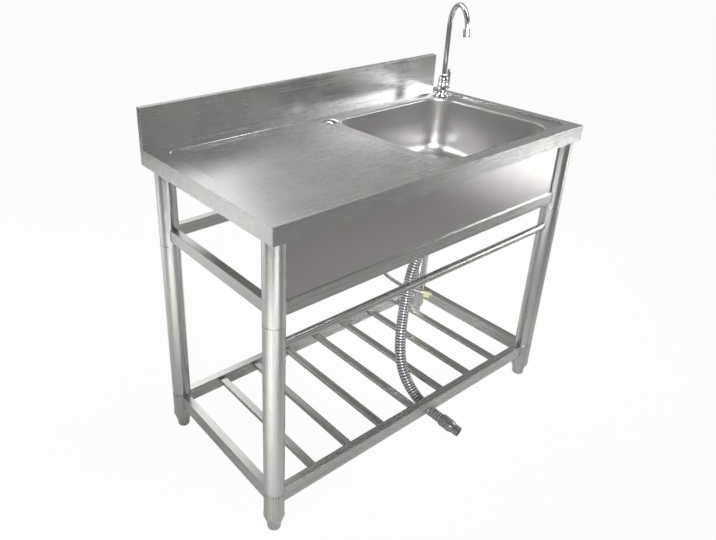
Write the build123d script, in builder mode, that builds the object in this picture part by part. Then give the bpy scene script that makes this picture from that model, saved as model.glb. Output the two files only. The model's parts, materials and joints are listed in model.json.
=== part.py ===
from build123d import *

import os
from math import cos, pi, radians, sin, tan

os.makedirs("parts", exist_ok=True)

# Kitchen sink unit: a stainless worktop with a drainboard on the left and a pressed bowl on
# the right, carried by four round legs with a slatted shelf near the floor.
# Millimetres. +X is to the right, +Y towards the wall behind, +Z up. The origin lies on the
# floor, in the middle of the unit.

# ---------------------------------------------------------------- driving dimensions
# Worktop
unit_width = 1000.0
unit_depth = 520.0
worktop_height = 800.0
sheet = 1.2
apron_depth = 40.0
apron_hem = 8.0
fold_r = 2.0
upstand_height = 100.0
upstand_thickness = 16.0
recess_depth = 5.0
recess_corner_r = 12.0
recess_edge_r = 1.6
rim_left = 40.0
rim_right = 22.0
rim_front = 35.0
rim_back = 44.0

# Bowl
bowl_width = 417.0
bowl_depth = 165.0
bowl_corner_r = 60.0
bowl_floor_r = 28.0
bowl_lip_r = 6.0
bowl_from_right = 43.0
bowl_from_front = 7.0
bowl_from_back = 30.0
deck_left_of_bowl = 35.0

# Stiffener under the drainboard
stiffener_depth = 22.0
stiffener_width = 40.0
stiffener_flange = 12.0
stiffener_margin = 20.0

# Legs
leg_r = 24.0
leg_wall = 1.2
leg_side_inset = 27.0
leg_front_inset = 32.0
leg_back_inset = 64.0
leg_joint_height = 570.0
leg_chamfer = 0.8
spigot_length = 80.0
spigot_wall = 1.5
weld_gap = 0.1
slip_gap = 0.1

# Middle rails and front panel
mid_rail_bottom = 586.0
mid_rail_height = 30.0
mid_rail_width = 20.0
front_rail_width = 25.0
panel_proud = 8.0
panel_flange = 14.0

# Tie bar below the front rail
tie_bar_r = 9.5
tie_bar_height = 511.0

# Bottom frame and shelf
shelf_rail_top = 112.0
shelf_rail_height = 38.0
shelf_rail_width = 20.0
slat_count = 7
slat_width = 20.0
slat_height = 10.0
slat_drop = 8.0
tube_wall = 1.2

# Foot sleeves and screw feet
sleeve_top = 118.0
sleeve_bottom = 29.0
sleeve_bulge_r = 25.0
sleeve_bulge_height = 43.0
sleeve_bulge_fillet = 3.0
sleeve_straight_from = 51.0
sleeve_mouth_r = 21.0
sleeve_wall = 2.4
sleeve_spigot_length = 32.0
groove_depth = 0.6
groove_width = 1.2
groove_pitch = 3.0
bush_height = 16.0
foot_top_r = 18.0
foot_base_r = 15.5
foot_edge_r = 5.0
foot_gap = 0.3
stem_r = 6.0
stem_length = 64.0
thread_gap = 0.08

# Tap
tap_from_right = 54.0
tap_from_upstand = 81.0
tap_seal_r = 20.0
tap_seal_height = 1.5
tap_flange_r = 21.0
tap_flange_height = 6.0
tap_body_r = 14.5
tap_body_top = 843.0
tap_shank_r = 10.0
tap_shank_bottom = 745.0
tap_hole_gap = 1.0
waterway_r = 4.0
hub_height = 824.0
hub_r = 10.0
hub_reach = 19.0
cartridge_r = 6.0
cartridge_inner_end = 8.0
spindle_r = 3.0
lever_cap_r = 9.0
lever_cap_depth = 7.0
lever_cap_edge_r = 2.3
lever_blade_width = 9.5
lever_blade_thickness = 4.5
lever_blade_top = 873.0
collar_top = 862.0
collar_gap = 0.3
collar_band = 3.0
collar_neck_wall = 1.2
collar_taper = 0.3
stem_socket_r = 8.0
stem_socket_depth = 11.0
spout_r = 6.75
spout_wall = 1.0
spout_arc_r = 66.0
spout_arc_height = 1000.0
spout_arc_degrees = 168.0
spout_yaw = -120.0
aerator_r = 10.5
aerator_length = 22.0
aerator_edge_r = 1.5
aerator_screen_share = 0.7
aerator_screen_height = 1.5
aerator_screen_fit = 1.0
aerator_jet_r = 1.2
aerator_jet_ring_r = 4.0
aerator_jets = 6
set_screw_r = 4.5
set_screw_depth = 3.0
set_screw_stand = 0.8
set_screw_margin = 1.0
tap_washer_r = 17.0
tap_washer_height = 2.0
lock_nut_flats = 28.0
lock_nut_height = 8.0

# Capped second tap hole
cap_left_of_bowl = 9.0
cap_from_upstand = 74.0
cap_r = 21.0
cap_dome = 5.0
cap_stem_r = 5.0
cap_stem_length = 26.0
cap_nut_r = 14.0
cap_nut_height = 6.0

# Basket strainer and drain
drain_hole_r = 42.5
strainer_flange_r = 56.0
strainer_flange_height = 2.0
strainer_flange_slope = 1.0
strainer_cup_r = 42.0
strainer_wall = 2.0
strainer_cup_depth = 42.0
outlet_r = 20.0
outlet_bottom = 556.0
outlet_cone = 10.0
basket_gap = 1.0
basket_depth = 26.0
basket_wall = 0.8
basket_rim = 3.0
basket_taper = 6.0
basket_post_stand = 2.0
basket_inner_ring = 0.35
basket_outer_ring = 0.62
basket_holes = 12
basket_hole_r = 3.0
basket_post_r = 5.0
plug_seal_r = 8.0
plug_seal_height = 4.0
strainer_gasket_height = 3.0
strainer_nut_r = 54.0
strainer_nut_height = 14.0
strainer_nut_lugs = 8
lug_r = 5.0
union_nut_r = 27.0
union_nut_height = 24.0
union_nut_lip = 4.0
union_nut_ribs = 12
union_nut_rib_r = 1.5
tail_flange_r = 19.5
tail_flange_height = 4.0
tail_r = 17.0
tail_bore_r = 13.0

# Drain hose, a ribbed tube
hose_r = 16.0
hose_valley_r = 14.3
hose_bore_r = 12.5
hose_rib_pitch = 7.9
rib_rise_from = 0.3
rib_crest_from = 0.45
rib_crest_to = 0.85
bend_share = 0.45
cuff_r = 17.5
cuff_length = 30.0
cuff_bore_r = 12.0
cuff_cone = 8.0
cuff_outlet_r = 14.0
cuff_outlet_length = 18.0

# Supply hose, braided
supply_r = 5.5
supply_nut_flats = 24.0
supply_nut_height = 23.0
supply_ferrule_r = 8.0
supply_ferrule_length = 12.0
tail_nut_flats = 32.0
tail_nut_length = 20.0
tail_nut_ferrule_length = 6.0
tail_thread_r = 10.4
tail_thread_length = 9.0
tail_bore_r = 6.5

# ---------------------------------------------------------------- derived places
half_width = unit_width / 2
half_depth = unit_depth / 2
deck_top = worktop_height - recess_depth
deck_bottom = deck_top - sheet
rim_bottom = worktop_height - sheet
apron_bottom = worktop_height - apron_depth
upstand_front = half_depth - upstand_thickness
upstand_top = worktop_height + upstand_height

recess_left = -half_width + rim_left
recess_right = half_width - rim_right
recess_front = -half_depth + rim_front
recess_back = upstand_front - rim_back
recess_centre = ((recess_left + recess_right) / 2, (recess_front + recess_back) / 2)
recess_size = (recess_right - recess_left, recess_back - recess_front)

bowl_right = recess_right - bowl_from_right
bowl_front = recess_front + bowl_from_front
bowl_length = recess_back - bowl_from_back - bowl_front
bowl_x = bowl_right - bowl_width / 2
bowl_y = bowl_front + bowl_length / 2
bowl_floor = deck_top - bowl_depth
seam_x = bowl_x - bowl_width / 2 - deck_left_of_bowl

leg_x = half_width - leg_side_inset
leg_front = -half_depth + leg_front_inset
leg_back = half_depth - leg_back_inset
leg_places = {
    "front_left": (-leg_x, leg_front),
    "front_right": (leg_x, leg_front),
    "back_left": (-leg_x, leg_back),
    "back_right": (leg_x, leg_back),
}
leg_span = leg_back - leg_front
leg_middle = (leg_front + leg_back) / 2
leg_bore_r = leg_r - leg_wall
spigot_r = leg_bore_r - slip_gap

mid_rail_top = mid_rail_bottom + mid_rail_height
panel_outside = leg_front - panel_proud
panel_width = 2 * (leg_x - leg_r + sheet)

slat_top = shelf_rail_top - slat_drop
slat_pitch = 2 * (leg_x - shelf_rail_width / 2) / (slat_count + 1)

tap_x = half_width - tap_from_right
tap_y = upstand_front - tap_from_upstand
cap_x = bowl_x - bowl_width / 2 - cap_left_of_bowl
cap_y = upstand_front - cap_from_upstand
tap_flange_bottom = deck_top + tap_seal_height
tap_body_bottom = tap_flange_bottom + tap_flange_height
tap_hole_r = tap_shank_r + tap_hole_gap

strainer_cup_bottom = bowl_floor - strainer_cup_depth
sheet_underside = bowl_floor - sheet
strainer_nut_top = sheet_underside - strainer_gasket_height
tail_flange_bottom = outlet_bottom - tail_flange_height
union_nut_bottom = tail_flange_bottom - union_nut_lip

# The hoses' routes, from the fitting above to the free end.
drain_route = [
    (bowl_x, bowl_y, 538),
    (bowl_x, bowl_y, 486),
    (bowl_x - 21.5, bowl_y + 2, 434),
    (bowl_x - 46.5, bowl_y + 5, 387),
    (bowl_x - 63.5, bowl_y + 1, 338),
    (bowl_x - 80.5, bowl_y - 7, 290),
    (bowl_x - 102.5, bowl_y - 21, 241),
    (bowl_x - 125.5, bowl_y - 39, 197),
    (bowl_x - 144.5, bowl_y - 61, 152),
    (bowl_x - 152.5, bowl_y - 87, 109),
    (bowl_x - 147.5, bowl_y - 117, 67),
    (bowl_x - 138.5, bowl_y - 163, 34),
    (bowl_x - 130.5, bowl_y - 220, 24),
]
supply_route = [
    (tap_x, tap_y, 715),
    (tap_x, tap_y, 655),
    (tap_x - 21, tap_y - 2, 598),
    (tap_x - 71, tap_y - 6, 560),
    (tap_x - 136, tap_y - 11, 522),
    (tap_x - 196, tap_y - 16, 470),
    (tap_x - 236, tap_y - 20, 405),
    (tap_x - 248, tap_y - 20, 335),
    (tap_x - 224, tap_y - 23, 275),
    (tap_x - 180, tap_y - 51, 231),
    (tap_x - 146, tap_y - 76, 209),
    (tap_x - 119, tap_y - 99, 200),
]


# ---------------------------------------------------------------- helpers
def write(piece, name):
    """Label a finished piece and write it under its own name."""
    piece.part.label = name
    export_step(piece.part, f"parts/{name}.step")


def recess_outline(grow=0.0):
    """The rounded outline of the pressed recess, grown outwards."""
    with BuildSketch() as outline:
        with Locations(recess_centre):
            RectangleRounded(recess_size[0] + 2 * grow, recess_size[1] + 2 * grow, recess_corner_r + grow)
    return outline.sketch


def side_section(inset):
    """Points of the worktop's side section, drawn in by one thickness, open at the bottom."""
    return [
        (-half_depth + inset, apron_bottom),
        (-half_depth + inset, worktop_height - inset),
        (upstand_front + inset, worktop_height - inset),
        (upstand_front + inset, upstand_top - inset),
        (half_depth - inset, upstand_top - inset),
        (half_depth - inset, apron_bottom),
    ]


def route_path(points, name, diameter):
    """Straight runs joined by tangent arcs, each arc as large as its two runs allow."""
    places = [Vector(*point) for point in points]
    runs = [places[i + 1] - places[i] for i in range(len(places) - 1)]
    radii = []
    for before, after in zip(runs, runs[1:]):
        half_turn = radians(before.get_angle(after)) / 2
        radii.append(bend_share * min(before.length, after.length) / tan(half_turn))
    print(name, "radii in diameters:", [round(r / diameter, 1) for r in radii])
    with BuildLine() as line:
        FilletPolyline(*places, radius=radii)
    return line.wire()


# ---------------------------------------------------------------- worktop
with BuildPart() as worktop:
    with BuildSketch(Plane.YZ.offset(-half_width)):
        Polygon(*side_section(0.0), align=None)
    extrude(amount=unit_width)
    fillet(worktop.edges().filter_by(Axis.Z).group_by(Axis.Y)[0], fold_r)
    with BuildSketch(Plane.YZ.offset(-half_width + sheet)):
        Polygon(*side_section(sheet), align=None)
    extrude(amount=unit_width - 2 * sheet, mode=Mode.SUBTRACT)
    with BuildSketch(Plane.XY.offset(deck_top)):
        add(recess_outline())
    extrude(amount=recess_depth, mode=Mode.SUBTRACT)
    with BuildSketch(Plane.XY.offset(deck_bottom)):
        add(recess_outline(sheet))
        add(recess_outline(), mode=Mode.SUBTRACT)
    extrude(amount=recess_depth)
    with BuildSketch(Plane.XY.offset(deck_bottom)):
        add(recess_outline())
        with Locations((seam_x, recess_centre[1])):
            Rectangle(unit_width, unit_depth, align=(Align.MIN, Align.CENTER), mode=Mode.SUBTRACT)
    extrude(amount=sheet)
    with BuildSketch(Plane.XY.offset(apron_bottom)):
        Rectangle(unit_width - 2 * sheet, unit_depth - 2 * sheet)
        Rectangle(unit_width - 4 * sheet, unit_depth - 4 * sheet, mode=Mode.SUBTRACT)
    extrude(amount=apron_hem)
    flat_faces = worktop.faces().filter_by(Plane.XY)
    rim_faces = flat_faces.filter_by_position(Axis.Z, rim_bottom + 1, worktop_height + 1)
    fillet(rim_faces.sort_by(SortBy.AREA)[-1].inner_wires()[0].edges(), recess_edge_r)
write(worktop, "worktop")

# ---------------------------------------------------------------- bowl with its deck
with BuildPart() as bowl_cavity:
    with BuildSketch(Plane.XY.offset(bowl_floor)):
        with Locations((bowl_x, bowl_y)):
            RectangleRounded(bowl_width, bowl_length, bowl_corner_r)
    extrude(amount=bowl_depth)
    fillet(bowl_cavity.edges().group_by(Axis.Z)[0], bowl_floor_r)

with BuildPart() as bowl:
    with BuildSketch(Plane.XY.offset(deck_bottom)):
        add(recess_outline())
        with Locations((seam_x, recess_centre[1])):
            Rectangle(unit_width, unit_depth, align=(Align.MAX, Align.CENTER), mode=Mode.SUBTRACT)
    extrude(amount=sheet)
    with BuildSketch(Plane.XY.offset(sheet_underside)):
        with Locations((bowl_x, bowl_y)):
            RectangleRounded(bowl_width + 2 * sheet, bowl_length + 2 * sheet, bowl_corner_r + sheet)
    extrude(amount=bowl_depth)
    fillet(bowl.edges().group_by(Axis.Z)[0], bowl_floor_r + sheet)
    flat_faces = bowl.faces().filter_by(Plane.XY)
    deck_under = flat_faces.filter_by_position(Axis.Z, deck_bottom - 1, deck_bottom + 0.1)
    fillet(deck_under[0].inner_wires()[0].edges(), bowl_lip_r - sheet)
    add(bowl_cavity.part, mode=Mode.SUBTRACT)
    fillet(bowl.faces().sort_by(Axis.Z)[-1].inner_wires()[0].edges(), bowl_lip_r)
    with Locations((bowl_x, bowl_y, bowl_floor)):
        Hole(drain_hole_r, depth=2 * sheet)
    with Locations((tap_x, tap_y, deck_top), (cap_x, cap_y, deck_top)):
        Hole(tap_hole_r, depth=2 * sheet)
write(bowl, "bowl")

# ---------------------------------------------------------------- drainboard stiffener
stiffener_left = recess_left + stiffener_margin
stiffener_right = seam_x - stiffener_margin
with BuildPart() as drainboard_stiffener:
    with BuildSketch(Plane.YZ.offset(stiffener_left)):
        with Locations((recess_centre[1], deck_bottom)):
            Rectangle(stiffener_width + 2 * stiffener_flange, sheet, align=(Align.CENTER, Align.MAX))
            Rectangle(stiffener_width, stiffener_depth, align=(Align.CENTER, Align.MAX))
            Rectangle(
                stiffener_width - 2 * sheet,
                stiffener_depth - sheet,
                align=(Align.CENTER, Align.MAX),
                mode=Mode.SUBTRACT,
            )
    extrude(amount=stiffener_right - stiffener_left)
write(drainboard_stiffener, "drainboard_stiffener")

# ---------------------------------------------------------------- legs
with BuildPart() as leg_stubs:
    with BuildSketch(Plane.XY.offset(leg_joint_height)):
        with Locations(*leg_places.values()):
            Circle(leg_r)
            Circle(leg_bore_r, mode=Mode.SUBTRACT)
    extrude(amount=deck_bottom - leg_joint_height)
    joint_edges = leg_stubs.edges().group_by(Axis.Z)[0].group_by(SortBy.RADIUS)[-1]
    chamfer(joint_edges, leg_chamfer)
write(leg_stubs, "leg_stubs")

for place, (x, y) in leg_places.items():
    with BuildPart() as lower_leg:
        with BuildSketch(Plane.XY.offset(sleeve_top)):
            with Locations((x, y)):
                Circle(leg_r)
                Circle(leg_bore_r, mode=Mode.SUBTRACT)
        extrude(amount=leg_joint_height - sleeve_top)
        chamfer(lower_leg.edges().group_by(Axis.Z)[-1].sort_by(SortBy.RADIUS)[-1], leg_chamfer)
        chamfer(lower_leg.edges().group_by(Axis.Z)[0].sort_by(SortBy.RADIUS)[-1], leg_chamfer)
    write(lower_leg, f"lower_leg_{place}")

with BuildPart() as leg_joint_spigots:
    with BuildSketch(Plane.XY.offset(leg_joint_height - spigot_length / 2)):
        with Locations(*leg_places.values()):
            Circle(spigot_r)
            Circle(spigot_r - spigot_wall, mode=Mode.SUBTRACT)
    extrude(amount=spigot_length)
write(leg_joint_spigots, "leg_joint_spigots")


# ---------------------------------------------------------------- rails
def rail(along, middle, length, width, height, top, name):
    """A hollow rail between two legs, its ends cut to the round of the legs."""
    ends = {Axis.X: (length / 2, 0), Axis.Y: (0, length / 2)}[along]
    size = {Axis.X: (length, width), Axis.Y: (width, length)}[along]
    bore = {Axis.X: (length, width - 2 * tube_wall), Axis.Y: (width - 2 * tube_wall, length)}[along]
    with BuildPart() as tube:
        with Locations((middle[0], middle[1], top - height / 2)):
            Box(size[0], size[1], height)
            Box(bore[0], bore[1], height - 2 * tube_wall, mode=Mode.SUBTRACT)
        with Locations(
            (middle[0] - ends[0], middle[1] - ends[1], top - height / 2),
            (middle[0] + ends[0], middle[1] + ends[1], top - height / 2),
        ):
            Cylinder(leg_r + weld_gap, 2 * height, mode=Mode.SUBTRACT)
    write(tube, name)


rail_runs = {
    "front": (Axis.X, (0, leg_front), 2 * leg_x),
    "back": (Axis.X, (0, leg_back), 2 * leg_x),
    "left": (Axis.Y, (-leg_x, leg_middle), leg_span),
    "right": (Axis.Y, (leg_x, leg_middle), leg_span),
}
for side, (along, middle, length) in rail_runs.items():
    mid_width = front_rail_width if side == "front" else mid_rail_width
    rail(along, middle, length, mid_width, mid_rail_height, mid_rail_top, f"mid_rail_{side}")
    rail(along, middle, length, shelf_rail_width, shelf_rail_height, shelf_rail_top, f"shelf_rail_{side}")

# ---------------------------------------------------------------- shelf slats
slat_front = leg_front + shelf_rail_width / 2
slat_length = leg_span - shelf_rail_width
for index in range(slat_count):
    slat_x = (index - (slat_count - 1) / 2) * slat_pitch
    with BuildPart() as slat:
        with Locations((slat_x, slat_front, slat_top)):
            Box(slat_width, slat_length, slat_height, align=(Align.CENTER, Align.MIN, Align.MAX))
        with Locations((slat_x, slat_front, slat_top - tube_wall)):
            Box(
                slat_width - 2 * tube_wall,
                slat_length,
                slat_height - 2 * tube_wall,
                align=(Align.CENTER, Align.MIN, Align.MAX),
                mode=Mode.SUBTRACT,
            )
    write(slat, f"shelf_slat_{index + 1}")

# ---------------------------------------------------------------- front panel
with BuildPart() as front_panel:
    with Locations((0, panel_outside, mid_rail_top)):
        Box(
            panel_width,
            sheet,
            rim_bottom - mid_rail_top,
            align=(Align.CENTER, Align.MIN, Align.MIN),
        )
        Box(panel_width, panel_flange, sheet, align=(Align.CENTER, Align.MIN, Align.MIN))
    with Locations((0, panel_outside, rim_bottom)):
        Box(panel_width, panel_proud, sheet, align=(Align.CENTER, Align.MIN, Align.MAX))
    with Locations((-leg_x, leg_front, rim_bottom), (leg_x, leg_front, rim_bottom)):
        Cylinder(leg_r + weld_gap, 2 * (rim_bottom - mid_rail_bottom), mode=Mode.SUBTRACT)
write(front_panel, "front_panel")

# ---------------------------------------------------------------- tie bar
with BuildPart() as front_tie_bar:
    with BuildSketch(Plane.YZ.offset(-leg_x)):
        with Locations((leg_front, tie_bar_height)):
            Circle(tie_bar_r)
            Circle(tie_bar_r - tube_wall, mode=Mode.SUBTRACT)
    extrude(amount=2 * leg_x)
    with Locations((-leg_x, leg_front, tie_bar_height), (leg_x, leg_front, tie_bar_height)):
        Cylinder(leg_r + weld_gap, 4 * tie_bar_r, mode=Mode.SUBTRACT)
write(front_tie_bar, "front_tie_bar")

# ---------------------------------------------------------------- foot sleeves and screw feet
sleeve_bore_r = leg_r - sleeve_wall
bush_top = sleeve_bottom + bush_height
foot_height = sleeve_bottom - foot_gap
for place, (x, y) in leg_places.items():
    with BuildPart() as foot_sleeve:
        with BuildSketch(Plane.XZ.offset(-y)):
            with Locations((x, 0)):
                Polygon(
                    (0, sleeve_bottom),
                    (sleeve_mouth_r, sleeve_bottom),
                    (sleeve_bulge_r, sleeve_bulge_height),
                    (leg_r, sleeve_straight_from),
                    (leg_r, sleeve_top),
                    (spigot_r, sleeve_top),
                    (spigot_r, sleeve_top + sleeve_spigot_length),
                    (0, sleeve_top + sleeve_spigot_length),
                    align=None,
                )
                for ring in (1, 2):
                    with Locations((leg_r, sleeve_top - ring * groove_pitch)):
                        Rectangle(2 * groove_depth, groove_width, mode=Mode.SUBTRACT)
        revolve(axis=Axis((x, y, 0), (0, 0, 1)))
        with Locations((x, y, bush_top)):
            Cylinder(
                sleeve_bore_r - spigot_wall,
                sleeve_top + sleeve_spigot_length,
                align=(Align.CENTER, Align.CENTER, Align.MIN),
                mode=Mode.SUBTRACT,
            )
        with Locations((x, y, sleeve_bottom)):
            Cylinder(stem_r + thread_gap, 4 * bush_height, mode=Mode.SUBTRACT)
        bulge_edges = foot_sleeve.edges().filter_by_position(
            Axis.Z, sleeve_bulge_height - 0.1, sleeve_bulge_height + 0.1
        )
        fillet(bulge_edges, sleeve_bulge_fillet)
    write(foot_sleeve, f"foot_sleeve_{place}")

    with BuildPart() as screw_foot:
        with BuildSketch(Plane.XZ.offset(-y)):
            with Locations((x, 0)):
                Polygon(
                    (0, 0),
                    (foot_base_r, 0),
                    (foot_top_r, foot_height),
                    (stem_r, foot_height),
                    (stem_r, foot_height + stem_length),
                    (0, foot_height + stem_length),
                    align=None,
                )
        revolve(axis=Axis((x, y, 0), (0, 0, 1)))
        fillet(screw_foot.edges().filter_by_position(Axis.Z, -0.1, 0.1), foot_edge_r)
    write(screw_foot, f"screw_foot_{place}")

# ---------------------------------------------------------------- tap
spout_heading = Vector(cos(radians(spout_yaw)), sin(radians(spout_yaw)), 0)
spout_plane = Plane(origin=(tap_x, tap_y, 0), x_dir=spout_heading, z_dir=spout_heading.cross(Vector(0, 0, 1)))
tap_axis = Axis((tap_x, tap_y, 0), (0, 0, 1))

with BuildPart() as tap_seal:
    with BuildSketch(Plane.XY.offset(deck_top)):
        with Locations((tap_x, tap_y)):
            Circle(tap_seal_r)
            Circle(tap_hole_r, mode=Mode.SUBTRACT)
    extrude(amount=tap_seal_height)
write(tap_seal, "tap_seal")

with BuildPart() as tap_flange:
    with BuildSketch(Plane.XY.offset(tap_flange_bottom)):
        with Locations((tap_x, tap_y)):
            Circle(tap_flange_r)
            Circle(tap_shank_r + slip_gap, mode=Mode.SUBTRACT)
    extrude(amount=tap_flange_height)
    fillet(tap_flange.edges().group_by(Axis.Z)[-1].sort_by(SortBy.RADIUS)[-1], tap_flange_height / 2)
write(tap_flange, "tap_flange")

with BuildPart() as tap_body:
    with BuildSketch(Plane.XY.offset(tap_body_bottom)):
        with Locations((tap_x, tap_y)):
            Circle(tap_body_r)
    extrude(amount=tap_body_top - tap_body_bottom)
    with BuildSketch(Plane.YZ.offset(tap_x)):
        with Locations((tap_y, hub_height)):
            Circle(hub_r)
    extrude(amount=hub_reach)
    with BuildSketch(Plane.XY.offset(tap_shank_bottom)):
        with Locations((tap_x, tap_y)):
            Circle(tap_shank_r)
    extrude(amount=tap_body_bottom - tap_shank_bottom)
    with Locations((tap_x, tap_y, tap_body_top)):
        Hole(stem_socket_r + thread_gap, depth=stem_socket_depth)
        Hole(waterway_r, depth=tap_body_top - tap_shank_bottom)
    with BuildSketch(Plane.YZ.offset(tap_x - cartridge_inner_end)):
        with Locations((tap_y, hub_height)):
            Circle(cartridge_r + slip_gap)
    extrude(amount=cartridge_inner_end + hub_reach, mode=Mode.SUBTRACT)
write(tap_body, "tap_body")

with BuildPart() as tap_cartridge:
    with BuildSketch(Plane.YZ.offset(tap_x - cartridge_inner_end)):
        with Locations((tap_y, hub_height)):
            Circle(cartridge_r)
    extrude(amount=cartridge_inner_end + hub_reach)
    with BuildSketch(Plane.YZ.offset(tap_x + waterway_r)):
        with Locations((tap_y, hub_height)):
            Circle(spindle_r + thread_gap)
    extrude(amount=hub_reach, mode=Mode.SUBTRACT)
write(tap_cartridge, "tap_cartridge")

lever_start = tap_x + hub_reach + collar_gap
with BuildPart() as tap_lever:
    with BuildSketch(Plane.YZ.offset(lever_start)):
        with Locations((tap_y, hub_height)):
            Circle(lever_cap_r)
    extrude(amount=lever_cap_depth)
    fillet(tap_lever.edges().group_by(Axis.X)[-1], lever_cap_edge_r)
    with BuildSketch(Plane.YZ.offset(lever_start)):
        with Locations((tap_y, (hub_height + lever_blade_top) / 2)):
            blade_run = lever_blade_top - hub_height - lever_blade_width
            SlotCenterToCenter(blade_run, lever_blade_width, rotation=90)
    extrude(amount=lever_blade_thickness)
    with BuildSketch(Plane.YZ.offset(lever_start)):
        with Locations((tap_y, hub_height)):
            Circle(spindle_r)
    extrude(amount=waterway_r - hub_reach)
write(tap_lever, "tap_lever")

screw_height = tap_body_top + collar_gap + set_screw_r + set_screw_margin
screw_plane = Plane(
    origin=Vector(tap_x, tap_y, screw_height) + spout_heading * (tap_body_r - set_screw_depth),
    z_dir=spout_heading,
)
with BuildPart() as spout_collar:
    with BuildSketch(spout_plane):
        with BuildLine():
            base = tap_body_top + collar_gap
            Polyline((spout_r, base), (tap_body_r, base), (tap_body_r, base + collar_band))
            Spline(
                (tap_body_r, base + collar_band),
                (spout_r + collar_neck_wall, collar_top),
                tangents=[(0, 1), (-collar_taper, 1)],
            )
            Polyline((spout_r + collar_neck_wall, collar_top), (spout_r, collar_top), (spout_r, base))
        make_face()
    revolve(axis=tap_axis)
    with BuildSketch(Plane.XY.offset(tap_body_top - stem_socket_depth + collar_gap)):
        with Locations((tap_x, tap_y)):
            Circle(stem_socket_r)
            Circle(spout_r, mode=Mode.SUBTRACT)
    extrude(amount=stem_socket_depth)
    with BuildSketch(screw_plane):
        Circle(set_screw_r + slip_gap)
    extrude(amount=2 * set_screw_depth, mode=Mode.SUBTRACT)
write(spout_collar, "spout_collar")

with BuildPart() as spout_set_screw:
    with BuildSketch(screw_plane):
        Circle(set_screw_r)
    extrude(amount=set_screw_depth + set_screw_stand)
    fillet(spout_set_screw.edges().sort_by(Axis(screw_plane.origin, spout_heading))[-1], set_screw_stand)
write(spout_set_screw, "spout_set_screw")

spout_start = tap_body_top - stem_socket_depth + collar_gap
arc_centre = (spout_arc_r, spout_arc_height)
with BuildPart() as spout:
    with BuildLine(spout_plane) as spout_line:
        Line((0, spout_start), (0, spout_arc_height))
        CenterArc(arc_centre, spout_arc_r, 180, -spout_arc_degrees)
    with BuildSketch(Plane.XY.offset(spout_start)):
        with Locations((tap_x, tap_y)):
            Circle(spout_r)
            Circle(spout_r - spout_wall, mode=Mode.SUBTRACT)
    sweep(path=spout_line.wire())
write(spout, "spout")

spout_end = spout_line.wire() @ 1
aerator_plane = Plane(origin=spout_end, z_dir=spout_line.wire() % 1)
with BuildPart() as aerator:
    with BuildSketch(aerator_plane):
        Circle(aerator_r)
        Circle(spout_r, mode=Mode.SUBTRACT)
    extrude(amount=aerator_length)
    fillet(aerator.edges().filter_by(GeomType.CIRCLE).sort_by(SortBy.RADIUS)[-2:], aerator_edge_r)
    with BuildSketch(aerator_plane.offset(aerator_length * aerator_screen_share)):
        Circle(spout_r + aerator_screen_fit)
        with PolarLocations(aerator_jet_ring_r, aerator_jets):
            Circle(aerator_jet_r, mode=Mode.SUBTRACT)
        Circle(aerator_jet_r, mode=Mode.SUBTRACT)
    extrude(amount=aerator_screen_height)
write(aerator, "aerator")

with BuildPart() as tap_washer:
    with BuildSketch(Plane.XY.offset(deck_bottom)):
        with Locations((tap_x, tap_y)):
            Circle(tap_washer_r)
            Circle(tap_shank_r + slip_gap, mode=Mode.SUBTRACT)
    extrude(amount=-tap_washer_height)
write(tap_washer, "tap_washer")

with BuildPart() as tap_lock_nut:
    with BuildSketch(Plane.XY.offset(deck_bottom - tap_washer_height)):
        with Locations((tap_x, tap_y)):
            RegularPolygon(lock_nut_flats / 2, 6, major_radius=False)
            Circle(tap_shank_r + slip_gap, mode=Mode.SUBTRACT)
    extrude(amount=-lock_nut_height)
write(tap_lock_nut, "tap_lock_nut")

# ---------------------------------------------------------------- blanking cap
cap_sphere_r = (cap_r**2 + cap_dome**2) / (2 * cap_dome)
with BuildPart() as hole_cap:
    with Locations((cap_x, cap_y, deck_top + cap_dome - cap_sphere_r)):
        Sphere(cap_sphere_r)
    split(bisect_by=Plane.XY.offset(deck_top), keep=Keep.TOP)
    with BuildSketch(Plane.XY.offset(deck_top)):
        with Locations((cap_x, cap_y)):
            Circle(cap_stem_r)
    extrude(amount=-cap_stem_length)
write(hole_cap, "hole_cap")

with BuildPart() as hole_cap_nut:
    with BuildSketch(Plane.XY.offset(deck_bottom)):
        with Locations((cap_x, cap_y)):
            RegularPolygon(cap_nut_r, 6)
            Circle(cap_stem_r + slip_gap, mode=Mode.SUBTRACT)
    extrude(amount=-cap_nut_height)
write(hole_cap_nut, "hole_cap_nut")

# ---------------------------------------------------------------- basket strainer
bowl_axis = Axis((bowl_x, bowl_y, 0), (0, 0, 1))
bowl_section = Plane(origin=(bowl_x, bowl_y, 0), x_dir=(1, 0, 0), z_dir=(0, -1, 0))
flange_top = bowl_floor + strainer_flange_height
cup_inner_r = strainer_cup_r - strainer_wall
outlet_bore_r = outlet_r - strainer_wall

with BuildPart() as strainer_body:
    with BuildSketch(bowl_section):
        Polygon(
            (cup_inner_r, flange_top),
            (strainer_flange_r - strainer_flange_slope, flange_top),
            (strainer_flange_r, bowl_floor),
            (strainer_cup_r, bowl_floor),
            (strainer_cup_r, strainer_cup_bottom),
            (outlet_r, strainer_cup_bottom - outlet_cone),
            (outlet_r, outlet_bottom),
            (outlet_bore_r, outlet_bottom),
            (outlet_bore_r, strainer_cup_bottom - outlet_cone + strainer_wall),
            (cup_inner_r, strainer_cup_bottom + strainer_wall),
            align=None,
        )
    revolve(axis=bowl_axis)
write(strainer_body, "strainer_body")

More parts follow.
